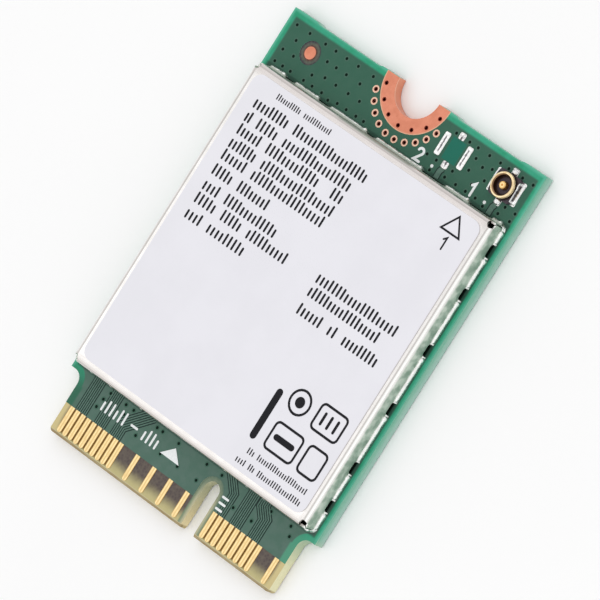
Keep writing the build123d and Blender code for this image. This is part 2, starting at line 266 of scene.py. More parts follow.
def boardFinish():
    finish = Finish("boardCoating", Specular_IOR_Level=board["specular"])
    x, y, z = finish.axes()
    front = board["pour"][2]
    grain = finish.noise(1.6, 4)
    cloud = grain.step()
    fine = finish.noise(14, 2)
    # copper pour under the coating, pulled back from the edges of the board
    body = area(x, y, board["pour"], 0.09)
    tab = x.within(-board["tabPour"], board["tabPour"], 0.09) * (1 - y.step(front, front + 0.1))
    shoulderX, shoulderY, shoulderGap = board["shoulder"]
    fromShoulder = (abs(x) - shoulderX).hypot(y - shoulderY)
    corner = area(abs(x), y, (9.2, shoulderX, shoulderY, front + 0.1), 0.05)
    corner = corner * fromShoulder.step(shoulderGap - 0.04, shoulderGap + 0.05)
    pour = body.larger(tab).larger(corner)
    isTop = z > board["thickness"] / 2
    windows = 0
    for side, places in ((isTop, board["windows"]), (1 - isTop, board["underWindows"])):
        for edges in places:
            windows = side * area(x, y, edges, 0.03) + windows
    along = (y + grain * 2).step(-12, 15)
    pourTone = along.mix((86, 113, 102), (52, 97, 79))
    pourTone = (cloud * 0.4).mix(pourTone, (62, 102, 85))
    openTone = cloud.mix((40, 150, 112), (56, 160, 128))
    # the side and rear edges are paler
    sideEdge = board["sideEdge"]
    outwards = abs(x).larger(y - (board["rearEdge"] - sideEdge))
    paleEdge = outwards.step(sideEdge - 0.25, sideEdge - 0.02)
    openTone = (paleEdge * 0.8).mix(openTone, (96, 184, 156))
    # painted shade and light: the coating of the tab is darker on the left and lighter on the right
    tabShadedTone = x.step(-6, 6).mix((50, 104, 82), (82, 150, 122))
    openTone = y.step(front - 1.5, front + 0.5).mix(tabShadedTone, openTone)
    coat = pour.mix(openTone, pourTone)
    coat = windows.mix(coat, (26, 108, 90))
    # painted shade: a soft shadow of the can on the coating beside it, and dark shade under the can
    coat = (isTop * area(x, y, board["beside"], 0.06) * 0.5).mix(coat, (26, 50, 42))
    coat = (isTop * area(x, y, board["shadedUnderCan"], 0.05)).mix(coat, (12, 22, 17))
    # bare laminate of the tab: the inner plane shows as plum, and ends short of the edge
    plane = (y + grain * 0.3).step(board["planeEdge"] - 0.3, board["planeEdge"] + 0.65)
    bareTone = plane.mix((190, 180, 130), (84, 74, 74))
    # painted reflection and shade: between close contacts the bare laminate takes their colour, a dark
    # orange brown
    packed = isTop * (1 - abs(y - board["contactMiddle"]).step(0.75, 0.9))
    packed = packed * sum(x.within(*ends, 0.1) for ends in board["packed"])
    bareTone = packed.mix(bareTone, (110, 78, 20))
    bareTone = abs(x).step(9.3, 9.7).mix(bareTone, (206, 190, 138))
    # the uncoated ring round the key slot is pale at its edge and green under the coating's rim
    keyX, keyY, keyRadius = board["key"]
    fromKey = (x - keyX).hypot((y - keyY).larger(0.0)) - keyRadius
    ringTone = fromKey.step(0.0, 0.32).mix((186, 182, 150), (112, 134, 110))
    ringTone = (y.step(-13.2, -11.5) * 0.8).mix(ringTone, (86, 112, 98))
    bareTone = (1 - fromKey.step(0.26, 0.40)).mix(bareTone, ringTone)
    # the clearing round the dot is brown near the copper and darkest at its edge
    dotX, dotY = board["dot"]
    away = (x - dotX).hypot(y - dotY)
    clearing = away.step(0.60, 0.74).mix((76, 84, 78), (50, 50, 64))
    clearing = away.step(0.44, 0.60).mix((84, 58, 56), clearing)
    bareTone = y.step(-11, -10).mix(bareTone, clearing)
    weave = finish.cells(5.5, finish.stretched(1, 1, 0.2))
    bareTone = (weave * 0.10).mix(bareTone, (214, 205, 165))
    # cut edge: glass layers under a thin green skin, uncoated and yellower round the tab
    layers = finish.noise(3.0, 4, finish.stretched(0.35, 0.35, 9)).step(0.35, 0.65)
    edgeTone = z.step(0.0, 0.78).mix((160, 194, 182), (104, 172, 146))
    edgeTone = (layers * 0.25).mix(edgeTone, (186, 204, 190))
    # the cut edge of the tab is pale, and takes the green of the body towards the shoulders
    sideTone = y.step(-13.7, -11.0).mix((230, 226, 186), (168, 190, 164))
    slotTone = y.step(-14.9, -12.0).mix((232, 216, 172), (186, 188, 158))
    tabEdge = abs(x - keyX).step(0.8, 1.0).mix(slotTone, sideTone)
    # painted shade: the upper part of the bevel is darker, against the light it catches
    bevelTone = z.step(0.38, 0.5).mix((178, 160, 116), (150, 130, 92))
    tabEdge = (1 - y.step(*board["bevel"])).mix(tabEdge, bevelTone)
    tabEdge = (layers * 0.3).mix(tabEdge, (206, 200, 164))
    edgeTone = y.step(board["tabTop"] - 1.0, board["tabTop"]).mix(tabEdge, edgeTone)
    # heights tell the faces apart: coated, bare in a recess, or cut
    half, coating = board["thickness"] / 2, board["coating"]
    off = abs(z - half)
    isCoat = off > half - 0.002
    isBare = off.within(half - coating - 0.0025, half - coating + 0.0025, 0.001)
    tone = isBare.mix(edgeTone, bareTone)
    tone = isCoat.mix(tone, coat)
    rough = 0.62 - 0.27 * isCoat + 0.08 * fine
    height = isCoat * (pour - windows + fine * 0.10) + (1 - isCoat) * weave * 0.5
    return finish.skin(tone, rough, height, 0.012, 0.6)


def goldFinish():
    finish = Finish("goldPlating", Metallic=1.0)
    x, y, _ = finish.axes()
    cloud = finish.noise(2.2)
    scratch = finish.noise(9, 4, finish.stretched(3.2, 0.35, 1))
    tone = cloud.mix((230, 199, 142), (219, 187, 126))
    # painted highlight: each contact is bright on both sides of its middle, broken up by its scratches;
    # painted shade: it is deeper in colour along its rounded edges
    half = board["pitch"] / 2
    across = x.math("PINGPONG", x + half, half)
    onTab = 1 - y.step(*board["contactTop"])
    tone = (across.step(0.15, 0.19) * onTab * 0.6).mix(tone, (206, 156, 88))
    streakyHighlight = scratch.step(0.3, 0.6) * across.within(0.06, 0.14, 0.03) * onTab
    tone = (streakyHighlight * 0.8).mix(tone, (255, 238, 186))
    rough = 0.24 + 0.14 * scratch + 0.06 * cloud
    return finish.skin(tone, rough, scratch, 0.004)


copper = {  # distances from the middle of the screw notch
    "collars": (2.80, 3.9),
    "landEdge": (2.69, 2.78),
    "wall": (1.70, 1.84),
}


def copperFinish():
    finish = Finish("bareCopper", Metallic=0.8)
    x, y, z = finish.axes()
    cloud = finish.noise(1.8, 5)
    brushed = finish.noise(16, 3, finish.stretched(1, 0.5, 1))
    tone = cloud.step().mix((218, 138, 110), (230, 150, 122))
    dark = finish.noise(7, 4).step(0.62, 0.8)
    tone = (dark * 0.35).mix(tone, (196, 116, 90))
    # the collars and the edge of the land are paler
    notch = x.hypot(y - board["rearEdge"])
    tone = (notch.within(*copper["collars"], 0.03) * 0.7).mix(tone, (246, 214, 190))
    tone = (notch.within(*copper["landEdge"], 0.03) * 0.6).mix(tone, (232, 196, 164))
    # the plated wall and its rim are smoother, and the wall paler, than the land; painted highlight: the
    # rim is paler still
    face = board["coating"] + 0.005
    low = z.within(face, board["thickness"] - face, 0.005)
    wall = low * notch.within(*copper["wall"], 0.01)
    tone = (wall * 0.6).mix(tone, (226, 158, 128))
    rim = z.within(0.70, 0.785, 0.03) * wall
    tone = (rim * 0.7).mix(tone, (250, 206, 178))
    # painted shade: the drilled holes are dark red inside
    tone = ((low - wall) * 0.9).mix(tone, (104, 26, 14))  # inside the drilled holes
    rough = 0.44 + 0.12 * brushed + 0.1 * dark - 0.18 * wall
    return finish.skin(tone, rough, brushed, 0.004)


can = {
    "half": (10.45, 10.775),  # half its width and length
    "middle": 0.325,
    "bend": 0.25,
    "rearBend": (10.2, 10.75),
    "frontBends": [(0.3, -9.95, -9.8), (0.5, -10.25, -10.05)],  # share, and where each grey line ends
    "rightBend": (9.85, 10.22),
    "wallTop": (1.76, 2.03),
    "notchWall": (10.93, 11.03),
}


def canFinish():
    finish = Finish("tinnedSheet", Metallic=1.0)
    x, y, z = finish.axes()
    rolled = finish.noise(4.5, 4, finish.stretched(0.25, 3.0, 3.0))
    cloud = finish.noise(0.9, 4)
    spots = finish.noise(11).step(0.60, 0.78)
    tone = cloud.step(0.35, 0.7).mix((234, 231, 228), (243, 240, 238))
    tone = (spots * 0.25).mix(tone, (210, 204, 199))
    # distance outside the line where the sheet starts to bend: a grey line along the crease there, dull
    # walls below it
    outX = abs(x) - (can["half"][0] - can["bend"])
    outY = abs(y - can["middle"]) - (can["half"][1] - can["bend"] + 0.05)
    out = outX.larger(outY)
    crease = 1 - abs(out).step(0.01, 0.085)
    tone = (crease * 0.8).mix(tone, (176, 171, 167))
    # painted shade: the rear bend is greyer
    tone = (y.step(*can["rearBend"]) * 0.7).mix(tone, (208, 200, 197))
    front = sum(share * (1 - y.step(*ends)) for share, *ends in can["frontBends"])
    tone = front.mix(tone, (206, 200, 196))
    tone = (x.within(*can["rightBend"], 0.05) * 0.4).mix(tone, (206, 203, 200))
    # painted highlight: a bright band along the bend of the right side
    bendHighlight = out.within(0.08, 0.21, 0.03) * x.step(10, 10.2)
    tone = bendHighlight.mix(tone, (255, 255, 252))
    # painted reflection: the walls are dull, with soft streaks of the green board and grey room around
    # them painted on
    streaks = finish.noise(3.6, 5, finish.stretched(1, 0.5, 0.45)).step(0.34, 0.66)
    wall = (1 - z.step(*can["wallTop"])) * out.step(0.12, 0.22)
    wallReflection = streaks.mix((160, 180, 164), (226, 231, 221))
    tone = (wall * 0.9).mix(tone, wallReflection)
    # beside the land of the notch the wall is oxidised, and hardly mirrors the copper
    darkened = y.step(*can["notchWall"]) * (1 - abs(x).step(2.8, 3.8))
    tone = darkened.mix(tone, (150, 156, 146))
    rough = 0.20 + 0.10 * rolled + 0.06 * spots + 0.3 * wall
    height = rolled * 0.6 + finish.noise(2.5, 2) * 1.2
    return finish.skin(tone, rough, height, 0.006, Metallic=1 - 0.75 * darkened)


socket = {
    "middle": (8.97, 13.17),
    "groove": (1.04, 1.12),  # heights of the groove under the bead of the ring
    "seam": (1.325, 1.35),  # heights of the line between its rolled lip and the bead
    "side": (1.15, 1.375),  # heights of the outer side of the ring
    "bore": (0.685, 0.715),  # distances from its axis, from here on
    "feet": (0.835, 0.85),
    "dimple": (0.05, 0.10),
    "shoulder": (0.13, 0.18),
    "pinSide": (0.235, 0.255),
    "floor": (0.60, 0.66),
}


def around(x, y):
    # distance from the axis of the socket
    return (x - socket["middle"][0]).hypot(y - socket["middle"][1])


def ringFinish():
    finish = Finish("polishedGold", Metallic=1.0)
    x, y, z = finish.axes()
    away = around(x, y)
    cloud = finish.noise(3)
    rings = finish.noise(10, 3, finish.stretched(0.3, 0.3, 6))
    tone = cloud.mix((255, 238, 200), (250, 222, 170))
    tone = (rings.step(0.5, 0.62) * 0.5).mix(tone, (222, 176, 112))
    # painted shade: dark inside the bore
    tone = ((1 - away.step(*socket["bore"])) * 0.85).mix(tone, (108, 62, 32))
    # painted shade in the groove under the bead
    tone = (z.within(*socket["groove"], 0.03) * 0.7).mix(tone, (150, 104, 56))
    seam = z.within(*socket["seam"], 0.008) * away.step(0.79, 0.80)
    tone = (seam * 0.8).mix(tone, (196, 138, 78))
    # painted shade: the feet of the ring are dark
    tone = (away.step(*socket["feet"]) * 0.9).mix(tone, (74, 58, 60))
    # its outer side is softer, and takes the light of the room more than the green of the board
    side = z.within(*socket["side"], 0.015) * away.step(0.79, 0.81)
    rough = 0.14 + 0.12 * rings + 0.2 * side
    return finish.skin(tone, rough, rings, 0.004, Metallic=1 - 0.6 * side)


def pinFinish():
    finish = Finish("pinGold")
    x, y, _ = finish.axes()
    away = around(x, y)
    grain = finish.noise(16)
    tone = away.step(*socket["dimple"]).mix((214, 150, 80), (255, 230, 168))
    tone = (away.step(*socket["shoulder"]) * 0.8).mix(tone, (236, 186, 106))
    tone = away.step(*socket["pinSide"]).mix(tone, (150, 96, 44))
    metal = 0.85 - 0.25 * grain.step(0.4, 0.7)
    return finish.skin(tone, 0.40 + 0.1 * grain, grain, 0.003, Metallic=metal)


def socketFinish():
    finish = Finish("socketMoulding", Specular_IOR_Level=0.3)
    x, y, _ = finish.axes()
    away = around(x, y)
    grain = finish.noise(24)
    tone = grain.step().mix((60, 50, 60), (74, 64, 74))
    # painted shade: dark round the foot of the ring
    tone = ((1 - away.step(0.86, 0.94)) * 0.85).mix(tone, (30, 18, 18))
    inside = 1 - away.step(*socket["floor"])
    tone = inside.mix(tone, (74, 62, 70))
    # painted shade with a brown painted reflection near the wall of the bore, and painted shade round the
    # foot of the pin
    tone = (inside * away.step(0.46, 0.58)).mix(tone, (40, 14, 8))
    tone = (1 - away.step(0.24, 0.34)).mix(tone, (34, 14, 10))
    return finish.skin(tone, 0.45 + 0.1 * grain, grain, 0.003)


tin = {
    "slits": [(4.42, 0.95, 0.08), (8.97, 0.96, 0.095)],  # middle of each place, offset and half width
    "slitEnds": (0.46, 0.62),
    "smallLands": 0.85,  # they lie farther than this from the middle line of the places
    "patch": 4.40,
    "innerBar": (7.93, 8.4),
    "rearBeads": (11.08, 11.12, 11.22, 11.28),  # where the beads behind the can are dark
}


def landFinish():
    # tin on the antenna lands: each bar has a dark slit of painted reflection and shade along its crown,
    # and the bar on the inner side of the socket is painted dark with shade, bright along its outer edge
    # only
    finish = Finish("landTin", Metallic=1.0)
    x, y, _ = finish.axes()
    lumps = finish.noise(6)
    tone = lumps.step().mix((238, 238, 238), (252, 251, 249))
    along = abs(y - socket["middle"][1])
    small = along.step(tin["smallLands"] - 0.01, tin["smallLands"] + 0.01)
    frosted = finish.noise(9, 4).step(0.46, 0.58) * small
    tone = (frosted * 0.55).mix(tone, (158, 154, 156))
    darkened = 0
    # painted reflection and shade: a dark slit along the crown of each bar
    ends = 1 - along.step(*tin["slitEnds"])
    for middle, offset, wide in tin["slits"]:
        across = abs(abs(x - middle) - offset) + lumps * 0.12
        darkened = (1 - across.step(wide, wide + 0.07)) * ends + darkened
    # and each small land is frosted, with a dull patch
    squares = (x - tin["patch"] - lumps * 0.1).power(2) + (along * 0.45 - 0.43 + lumps * 0.08).power(2)
    darkened = 1 - squares.step(0.002, 0.009) + darkened
    tone = (darkened * 0.85).mix(tone, (72, 64, 70))
    # painted shade: the bar on the inner side of the socket, save its outer edge
    tone = x.within(*tin["innerBar"], 0.02).mix(tone, (58, 48, 56))
    return finish.skin(tone, 0.18 + 0.14 * lumps, lumps, 0.03, 0.8)


def solderFinish():
    finish = Finish("tinSolder", Metallic=1.0)
    lumps = finish.noise(7, 2)
    frost = finish.cells(26)
    tone = lumps.step().mix((236, 236, 234), (252, 252, 250))
    # painted reflection: the beads along the rear wall are grey green near the wall, as if mirroring the
    # board beside it
    y = finish.axes()[1]
    ends = tin["rearBeads"]
    inner = y.step(*ends[:2]) * (1 - (y + lumps * 0.08).step(*ends[2:]))
    tone = (inner * 0.8).mix(tone, (150, 162, 146))
    rough = 0.16 + 0.16 * lumps + 0.08 * frost
    height = lumps * 1.5 + frost * 0.15
    return finish.skin(tone, rough, height, 0.02, 0.7)


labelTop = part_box("shield_label")[1].z / mm


def labelFinish():
    finish = Finish("labelFilm", Specular_IOR_Level=0.25)
    z = finish.axes()[2]
    fibre = finish.noise(20, 4)
    cloud = finish.noise(0.35)
    tone = cloud.step().mix((231, 230, 236), (234, 233, 239))
    cutEdge = z < labelTop - 0.005
    tone = (cutEdge * 0.8).mix(tone, (226, 222, 224))
    height = fibre * 0.3 + finish.noise(1.2, 2) * 1.5
    return finish.skin(tone, 0.50 + 0.08 * fibre, height, 0.004)


def mouldedFinish(name, dark, light, roughness):
    finish = Finish(name)
    grain = finish.noise(24)
    speck = finish.cells(18)
    tone = grain.step().mix(dark, light)
    return finish.skin(tone, roughness + 0.1 * grain, speck, 0.003)


finishes = {
    "board": boardFinish(),
    "gold": goldFinish(),
    "copper": copperFinish(),
    "can_sheet": canFinish(),
    "solder": solderFinish(),
    "label": labelFinish(),
    "socket_plastic": socketFinish(),
    "chip_body": mouldedFinish("chipMoulding", (38, 38, 40), (48, 48, 50), 0.5),
    "ceramic_white": mouldedFinish("whiteCeramic", (214, 210, 198), (228, 224, 214), 0.4),
    "ceramic_tan": mouldedFinish("tanCeramic", (158, 124, 86), (176, 142, 102), 0.4),
    "ferrite": mouldedFinish("darkFerrite", (62, 62, 66), (80, 80, 84), 0.55),
}
lands = landFinish()
pin = pinFinish()
special = {
    "socket_shell": ringFinish(),
    "socket_contact": pin,
    "socket_lands": lands,
    "spare_lands": lands,
}
for part in frame["record"]["subparts"]:
    mesh = nodes[part["node"]].data
    mesh.materials.clear()
    mesh.materials.append(special.get(part["node"]) or finishes[part["material_slot"]])
print("materials given to the CAD nodes:", len(nodes))

# surfaces


def tube(loops, closed=False):
    # loops is an array (count, points, 3): each loop is one section, and the surface joins each to
    # the next. Both ends are closed with a fan to their middle, unless the last joins the first.
    count, points = loops.shape[:2]
    verts = loops.reshape(-1, 3)
    i, j = np.meshgrid(np.arange(count if closed else count - 1), np.arange(points), indexing="ij")
    a = i * points + j
    b = i * points + (j + 1) % points
    ahead = ((i + 1) % count - i) * points
    quads = np.stack([a, b, b + ahead, a + ahead], axis=-1).reshape(-1, 4)
    fans = np.zeros((0, 3), int)
    if not closed:
        ends = np.stack([loops[0].mean(axis=0), loops[-1].mean(axis=0)])
        verts = np.vstack([verts, ends])
        ring = np.arange(points)
        after = (ring + 1) % points
        first, last = count * points, count * points + 1
        head = np.stack([np.full(points, first), after, ring], axis=1)
        offset = (count - 1) * points
        tail = np.stack([np.full(points, last), ring + offset, after + offset], axis=1)
        fans = np.vstack([head, tail])
    return verts, quads, fans


def outward(part):
    # the enclosed volume, summed over faces as a . (b x c), is positive when they point outwards
    verts, quads, fans = part
    triangles = np.vstack([quads[:, [0, 1, 2]], quads[:, [0, 2, 3]], fans])
    a, b, c = (verts[triangles[:, k]] for k in range(3))
    if np.einsum("ij,ij->", a, np.cross(b, c)) < 0:
        quads, fans = quads[:, ::-1], fans[:, ::-1]
    return verts, quads, fans


def makePiece(name, parts, material):
    verts, faces = [], []
    start = 0
    for part, quads, fans in map(outward, parts):
        verts.append(part)
        faces += (quads + start).tolist() + (fans + start).tolist()
        start += len(part)
    mesh = bpy.data.meshes.new(name)
    mesh.from_pydata((np.vstack(verts) * mm).tolist(), [], faces)
    mesh.shade_smooth()
    mesh.set_sharp_from_angle(angle=math.radians(35))
    mesh.materials.append(material)
    piece = placed(name, mesh)
    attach(piece, "root")
    print("piece", name, len(mesh.polygons), "faces")


def sideways(path, closed):
    # unit sideways vectors at the points of a path, lengthened at corners so that a band keeps its width
    path = np.asarray(path, float)
    steps = np.roll(path, -1, axis=0) - path if closed else np.diff(path, axis=0)
    steps = steps / np.linalg.norm(steps, axis=1, keepdims=True)
    normals = np.stack([-steps[:, 1], steps[:, 0]], axis=1)
    before = np.roll(normals, 1, axis=0) if closed else np.vstack([normals[:1], normals])
    after = normals if closed else np.vstack([normals, normals[-1:]])
    middle = before + after
    middle /= np.linalg.norm(middle, axis=1, keepdims=True)
    return middle / np.maximum(np.sum(middle * after, axis=1, keepdims=True), 0.3)


def band(path, width, level, height, closed=False, capSteps=4):
    # a raised line: its section is (-w, 0) (-w, h - e) (-w + e, h) (w - e, h) (w, h - e) (w, 0), with an
    # edge e of 0.3 h or less, carried along the path; over the rounded ends the half width w falls as
    # r cos(t) at a distance r sin(t)
    path = np.asarray(path, float)
    side = sideways(path, closed)
    half = np.full(len(path), width / 2)
    if not closed and capSteps:
        t = np.linspace(0, math.radians(82), capSteps + 1)[1:]
        for _ in range(2):  # the last end is rounded, then all is turned round for the other one
            away = path[-1] - path[-2]
            away = away / np.linalg.norm(away)
            path = np.vstack([path, path[-1] + np.outer(width / 2 * np.sin(t), away)])[::-1]
            half = np.concatenate([half, width / 2 * np.cos(t)])[::-1]
            side = np.vstack([side, np.repeat(side[-1:], capSteps, axis=0)])[::-1]
    edge = np.minimum(0.3 * height, 0.4 * half)
    across = np.stack([-half, -half, edge - half, half - edge, half, half], axis=1)
    foot, shoulder, crown = 0 * edge, height - edge, 0 * edge + height
    up = np.stack([foot, shoulder, crown, crown, shoulder, foot], axis=1)
    flat = path[:, None, :] + across[:, :, None] * side[:, None, :]
    return tube(np.concatenate([flat, (level + up)[:, :, None]], axis=2), closed)


def plate(outline, level, height, inset):
    # a low prism over an outline seen from its middle, its upper edge drawn in by inset
    outline = np.asarray(outline, float)
    middle = outline.mean(axis=0)
    reach = np.linalg.norm(outline - middle, axis=1, keepdims=True)
    inner = middle + (outline - middle) * (1 - inset / reach)
    rise = [(outline, 0), (outline, height - inset), (inner, height)]
    return tube(np.stack([np.column_stack([o, np.full(len(o), level + h)]) for o, h in rise]))


def turned(x, y, profile, points=12):
    # circles of radius r at height z for each (r, z) of the profile, round an upright axis
    t = np.linspace(0, 2 * math.pi, points, endpoint=False)
    loops = [(x + r * np.cos(t), y + r * np.sin(t), np.full(points, z)) for r, z in profile]
    return tube(np.stack(loops).transpose(0, 2, 1))


def hoop(x, y, profile, count):
    # a closed profile of points (r, z) carried round an upright axis
    t = np.linspace(0, 2 * math.pi, count, endpoint=False)
    r, z = np.asarray(profile, float).T
    loops = [x + np.outer(np.cos(t), r), y + np.outer(np.sin(t), r), np.tile(z, (count, 1))]
    return tube(np.stack(loops, axis=2), closed=True)


def bead(start, end, width, height, wave, points=9):
    # a solder bead from start to end: its section is half an ellipse (w cos(t), h sin(t)), which shrinks
    # as cos(s) over the rounded ends; w and h swell and thin a little as a sum of sines along it, and
    # swell by a bell curve into a drop at the far end
    start, end = np.asarray(start, float), np.asarray(end, float)
    length = np.linalg.norm(end - start)
    way = (end - start) / length
    half = width / 2
    s = np.radians(np.linspace(-84, 84, 15))
    caps = np.where(s < 0, half + half * np.sin(s), length - half + half * np.sin(s))
    middle = np.linspace(half, length - half, max(3, round(length / 0.12)))[1:-1]
    along = np.concatenate([caps[s < 0], [half], middle, [length - half], caps[s > 0]])
    shrink = np.concatenate([np.cos(s[s < 0]), np.ones(len(middle) + 2), np.cos(s[s > 0])])
    swell = 1 + wave * (np.sin(5.1 * along + 7 * start[0]) + 0.6 * np.sin(11.3 * along + 3 * start[1]))
    swell += solder["blob"] * np.exp(-(((length - along - 0.22) / 0.14) ** 2))
    t = np.linspace(0, math.pi, points)
    across = np.outer(shrink * swell * half, np.cos(t))
    up = np.outer(shrink * swell * height, np.sin(t))
    flat = start + along[:, None, None] * way + across[:, :, None] * np.array([-way[1], way[0]])
    return tube(np.concatenate([flat, (top - 0.01 + up)[:, :, None]], axis=2))


def mound(x, y, width, length, level, height, sharpness, rings=5, points=28):
    # a solder mound: each ring is a superellipse |x/a|^n + |y/b|^n = 1, shrunk by 0.45 + 0.55 cos(s) and
    # raised by h sin(s)
    t = np.linspace(0, 2 * math.pi, points, endpoint=False)
    c, s = np.cos(t), np.sin(t)
    size = (np.abs(c) ** sharpness + np.abs(s) ** sharpness) ** (-1 / sharpness)
    rise = np.linspace(0, math.radians(86), rings)
    shrink = np.concatenate([[1.0], 0.45 + 0.55 * np.cos(rise), [0.2]])
    up = np.concatenate([[-0.01], height * np.sin(rise), [height]])
    across = x + width / 2 * np.outer(shrink, size * c)
    along = y + length / 2 * np.outer(shrink, size * s)
    levels = np.tile(level + up, (points, 1)).T
    return tube(np.stack([across, along, levels], axis=2))


def arc(x, y, radius, start, end, count):
    t = np.radians(np.linspace(start, end, count))
    return np.stack([x + radius * np.cos(t), y + radius * np.sin(t)], axis=1)


def roundedFrame(x0, x1, y0, y1, radius, steps=5):
    left, right, low, high = x0 + radius, x1 - radius, y0 + radius, y1 - radius
    middles = [(right, high), (left, high), (left, low), (right, low)]
    arcs = [arc(*middle, radius, 90 * k, 90 * k + 90, steps) for k, middle in enumerate(middles)]
    return np.vstack(arcs)


def numeral(digit, x, y, tall, thick, level, height):
    # plain numbers drawn as bands; x is the middle and y the foot
    if digit == 1:
        paths = [[(x - 0.22 * tall, y + 0.76 * tall), (x + 0.04 * tall, y + tall), (x + 0.04 * tall, y)]]
    else:
        bow = arc(x, y + 0.74 * tall, 0.26 * tall, 165, -30, 9)
        paths = [np.vstack([bow, [(x - 0.27 * tall, y), (x + 0.30 * tall, y)]])]
    return [band(path, thick, level, height) for path in paths]


# vias, tracks and white marks on the board

top = board["thickness"]
marks = {
    "ink": 0.022,
    "viaHole": 0.088,
    "viaRing": 0.19,
    "trackPitch": 0.155,
    "trackWidth": 0.085,
    "lineWidth": 0.36,  # of the single line from each antenna place
    "underGap": 0.1,
}
viaRows = {  # height on the board: places across it
    14.15: [-10.2, -9.05, -7.65, -6.72, -5.75, -4.73, -3.4, 3.9, 5.05, 5.78, 6.77, 7.7, 8.42, 9.6, 10.5],
    13.32: [-9.65, -6.85, -6.05, -5.15, -3.95, 6.78],
    13.55: [6.05, 7.45],
    12.72: [6.05, 7.4],
    12.43: [-10.15, -9.2, -6.37, -5.4, -4.3, -3.3],
    12.12: [-7.3, 2.9, 3.7, 5.1, 6.77, 9.65, 10.5],
    11.56: [
        -10.2, -9.5, -8.8, -7.62, -6.85, -6.0, -4.6, -3.8, -2.95, -2.27, 4.85, 5.8, 6.65, 7.5, 9.45, 10.45,
    ],
    11.40: [-5.32, 3.65, 8.25],
    -10.94: [-7.4, -6.0, -5.3, -3.15, -2.65, -1.2, 1.35, 2.7, 7.1, 8.85],
    -11.50: [-7.65, -5.75, 9.15],
    -12.12: [-7.8, -4.2, -1.95, -0.4, 1.3, 4.63, 6.25],
}
underRows = {  # the same for the vias that only the underside shows
    12.1: [8.1], 10.6: [4.8, 5.2, 6.7, 7.9, 9.3], 10.1: [4.6, 5.8], 9.9: [5.2, 7.5, 9.2, 9.8],
    9.5: [6.3, 7.0, 8.3, 10.1], 8.9: [8.0, 9.1], 8.5: [8.7, 9.8], 7.8: [9.1, 9.8], 7.2: [9.8],
    6.5: [7.3, 8.9, 10.1], 5.8: [8.0, 9.8], 5.3: [7.6], 4.9: [9.8], 4.0: [9.8], 3.0: [9.8],
    2.4: [9.8, 10.3], -2.1: [-8.8], -2.7: [-9.6], -3.3: [-8.9], -3.7: [-9.7], -4.0: [-8.2],
    -4.4: [-8.8, -9.7], -5.2: [-9.2, -7.1], -5.8: [-6.1, -7.4, -9.2, -10.0], -6.4: [-7.0],
    -6.7: [-8.2, -9.3], -7.1: [-7.4, -9.7], -7.5: [-5.1, -7.2, -8.2], -7.9: [-7.5, -9.7], -8.6: [-10.1],
    -9.1: [-9.6], -9.7: [-7.3], -11.6: [-3.7], -11.9: [-6.2, -3.4, -2.8],
}
trackGroups = [  # middle line of each bundle and how many tracks run in it
    ([(-8.57, -10.4), (-8.57, -12.99)], 6),
    ([(-6.88, -10.4), (-6.88, -12.99)], 6),
    ([(-3.75, -10.4), (-5.45, -12.1), (-5.45, -12.99)], 6),
    ([(3.15, -10.4), (4.16, -11.41), (4.16, -12.99)], 4),
    ([(5.42, -10.4), (5.42, -12.99)], 6),
    ([(6.42, -10.4), (6.42, -10.95), (7.04, -11.57), (7.04, -12.99)], 6),
    ([(4.42, 11.93), (4.31, 11.7), (4.31, 11.2)], 1),
    ([(8.97, 11.93), (8.86, 11.7), (8.86, 11.2)], 1),
]
underGroup = ([(-4.35, -10.8), (-5.04, -11.84), (-5.9, -12.4), (-5.9, -12.99)], 4)
underGaps = [  # lines between two areas of copper on the underside
    [(-7.11, -4.14), (-7.98, -4.42), (-8.63, -5.31), (-8.74, -7.30), (-9.07, -7.63), (-9.12, -11.06)],
    [(-6.57, -5.03), (-7.44, -5.19), (-7.82, -5.64), (-7.82, -7.63), (-7.98, -8.07), (-8.0, -12.45)],
]


def darkCoat(name, tone, gloss=0.15):
    finish = Finish(name, Specular_IOR_Level=gloss)
    fine = finish.noise(14, 2)
    colour = (fine * gloss * 2).mix(tone, (34, 60, 52))
    return finish.skin(colour, 0.34 + 0.1 * fine, fine, 0.002)


coats = {  # two tones, gloss, scale of the grain, its limits, roughness, depth and strength of the relief
    "trackCoating": ((80, 110, 98), (94, 124, 111), board["specular"], 9, (0.3, 0.7), 0.30, 0.002, 0.5),
    "whiteInk": ((246, 248, 248), (226, 229, 231), 0.15, 30, (0.35, 0.75), 0.55, 0.003, 0.6),
    "blackInk": ((22, 22, 26), (36, 36, 42), 0.15, 30, (0.35, 0.75), 0.55, 0.003, 0.6),
}


def grainyFinish(name):
    first, second, gloss, scale, limits, rough, depth, strength = coats[name]
    finish = Finish(name, Specular_IOR_Level=gloss)
    grain = finish.noise(scale)
    tone = grain.step(*limits).mix(first, second)
    return finish.skin(tone, rough + 0.1 * grain, grain, depth, strength)


# the beds between tracks and the gap lines underneath are dark: bare gaps over the inner plane, with
# painted shade in their recess
gapCoat = darkCoat("gapCoating", (26, 46, 42))
trackCoat, whiteInk, blackInk = map(grainyFinish, coats)


def makeVias():
    through, under = ([(x, y) for y, row in rows.items() for x in row] for rows in (viaRows, underRows))
    hole, ring = marks["viaHole"], marks["viaRing"]
    rings, holes = [], []
    for level, way, places in ((top, 1, through), (0.0, -1, through + under)):
        profile = [(ring, -0.002), (ring - 0.03, 0.009), (hole + 0.02, 0.009), (hole, 0.003)]
        dimple = [(hole + 0.022, 0.004), (hole, 0.009), (0.4 * hole, 0.006)]
        for x, y in places:
            rings.append(turned(x, y, [(r, level + way * h) for r, h in profile]))
            holes.append(turned(x, y, [(r, level + way * (h + 0.002)) for r, h in dimple], 10))
    makePiece("viaRings", rings, darkCoat("viaCoating", (72, 108, 92)))
    # painted shade: the dimple over each via is near black
    makePiece("viaHoles", holes, darkCoat("viaDimple", (8, 28, 20), 0.04))


